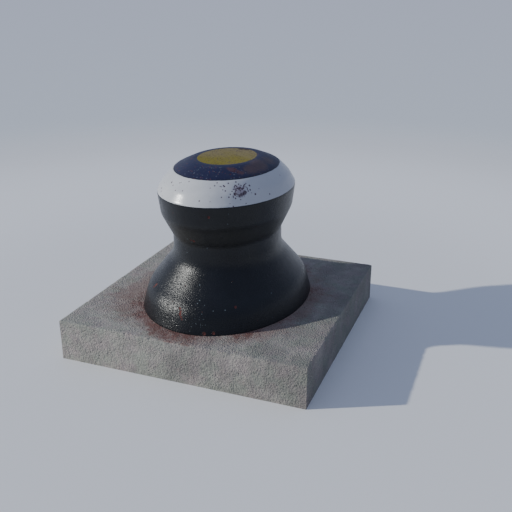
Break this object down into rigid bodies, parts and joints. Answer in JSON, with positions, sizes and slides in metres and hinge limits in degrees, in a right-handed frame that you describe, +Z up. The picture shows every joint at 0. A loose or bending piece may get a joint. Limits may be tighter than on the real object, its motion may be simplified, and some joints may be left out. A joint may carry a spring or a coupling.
{
  "type": "mooring bollard on a concrete block",
  "caption": "Oval waisted mooring bollard, a hollow iron casting with a banded head, its foot let into a square concrete block over hidden anchors.",
  "frame": {"origin": "centre of the underside of the concrete block, on the axis of the bollard", "axes": "+Z up; +Y along the long axis of the oval bollard; +X across it; the sides of the block lie along X and Y"},
  "size_m": [1.1, 1.1, 0.816],
  "materials": {
    "painted_iron": "satin",
    "concrete": "matte",
    "anchor_steel": "satin"
  },
  "bodies": {
    "root": {"bollard_casting": "painted_iron", "concrete_block": "concrete", "anchor_studs": "anchor_steel", "plate_nuts": "anchor_steel", "flange_washers": "anchor_steel", "flange_nuts": "anchor_steel", "anchor_plate_1": "anchor_steel", "anchor_plate_2": "anchor_steel", "anchor_plate_3": "anchor_steel", "anchor_plate_4": "anchor_steel", "anchor_plate_5": "anchor_steel", "anchor_plate_6": "anchor_steel"}
  },
  "joints": []
}
